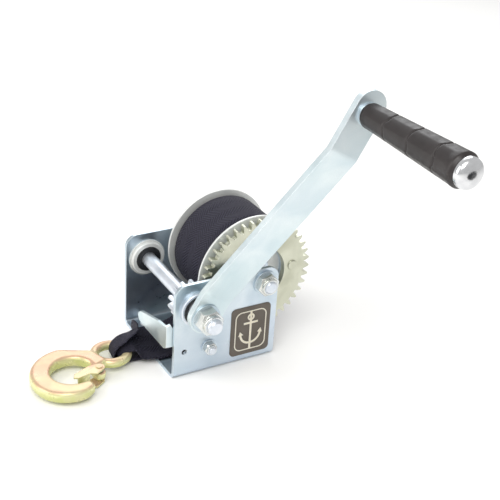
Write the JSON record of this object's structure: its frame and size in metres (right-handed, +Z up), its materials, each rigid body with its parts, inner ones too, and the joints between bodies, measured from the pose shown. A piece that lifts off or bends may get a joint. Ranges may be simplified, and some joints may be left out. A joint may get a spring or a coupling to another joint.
{
  "type": "boat trailer winch",
  "caption": "Hand winch for a boat trailer: a bent steel channel carries a geared strap drum, a cranked handle, a two-way pawl and a strap ending in a slip hook.",
  "frame": {"origin": "middle of the four base bolt holes, on the underside of the base", "axes": "+X towards the drum and away from the load, -X where the strap leaves, +Y away from the crank side, +Z up from the surface the base is bolted to"},
  "size_m": [0.2425, 0.2806, 0.2496],
  "materials": {
    "zinc_blue": "bright bluish zinc plating",
    "steel_bright": "bright turned steel",
    "zinc_yellow_gear": "pale olive zinc plating",
    "nut_steel": "zinc plated",
    "hook_zinc": "yellow iridescent zinc plating",
    "spring_steel": "bare spring wire",
    "webbing": "woven polyester, matte",
    "grip_black": "moulded, satin",
    "cap_chrome": "polished",
    "label_dark": "satin print",
    "label_line": "satin print"
  },
  "bodies": {
    "base": {"frame": "zinc_blue", "shaft_bush_near": "steel_bright", "shaft_bush_far": "steel_bright", "shaft_washer_far": "zinc_blue", "drum_axle": "steel_bright", "axle_washer_near": "zinc_blue", "axle_washer_far": "zinc_blue", "axle_nut": "nut_steel", "axle_spacer_near": "zinc_blue", "axle_spacer_far": "zinc_blue", "pawl_pivot": "steel_bright", "pawl_pivot_washer": "zinc_blue", "pawl_pivot_nut": "nut_steel", "label_plate": "label_dark", "label_mark": "label_line", "strap_tail": "webbing"},
    "drum": {"drum_core": "zinc_blue", "drum_flange_near": "zinc_blue", "drum_flange_far": "zinc_blue", "drum_gear": "zinc_yellow_gear", "gear_spacer": "zinc_blue", "drum_bush_near": "steel_bright", "drum_bush_far": "steel_bright", "strap_roll": "webbing", "strap_anchor_pin": "steel_bright", "gear_rivet_1": "zinc_yellow_gear", "gear_rivet_2": "zinc_yellow_gear", "gear_rivet_3": "zinc_yellow_gear", "gear_rivet_4": "zinc_yellow_gear"},
    "crank": {"drive_shaft": "steel_bright", "pinion": "steel_bright", "shaft_circlip": "steel_bright", "hub_spacer": "steel_bright", "crank_arm": "zinc_blue", "crank_washer": "zinc_blue", "crank_nut": "nut_steel", "grip_spindle": "steel_bright", "grip_collar": "steel_bright", "grip_end_cap": "cap_chrome"},
    "grip_sleeve": {"grip": "grip_black"},
    "pawl_lever": {"pawl": "zinc_blue"},
    "hook": {"hook_body": "hook_zinc", "latch_pin": "hook_zinc", "latch_spring": "spring_steel"},
    "latch": {"hook_latch": "hook_zinc"}
  },
  "joints": [
    {"name": "drum_spin", "type": "hinge", "parent": "base", "child": "drum", "pos_m": [0.034, 0, 0.072], "axis": [0, 1, 0], "continuous": true},
    {"name": "crank_spin", "type": "hinge", "parent": "base", "child": "crank", "pos_m": [-0.02755, 0, 0.0625], "axis": [0, 1, 0], "continuous": true},
    {"name": "grip_spin", "type": "hinge", "parent": "crank", "child": "grip_sleeve", "pos_m": [0.07244, -0.16, 0.23224], "axis": [0, 1, 0], "continuous": true},
    {"name": "pawl_tilt", "type": "hinge", "parent": "base", "child": "pawl_lever", "pos_m": [-0.0154, -0.043, 0.0239], "axis": [0, 1, 0], "range_deg": [-10, 10]},
    {"name": "hook_swing", "type": "hinge", "parent": "base", "child": "hook", "pos_m": [-0.0681, -0.0035, 0.008], "axis": [0, 1, 0], "range_deg": [0, 90]},
    {"name": "latch_swing", "type": "hinge", "parent": "hook", "child": "latch", "pos_m": [-0.10076, -0.02589, 0.008], "axis": [0, 0, 1], "range_deg": [-30, 0], "stiffness_Nm_per_rad": 0.05}
  ],
  "couplings": [
    {"joint": "crank_spin", "follows": "drum_spin", "ratio": -3.0769}
  ]
}
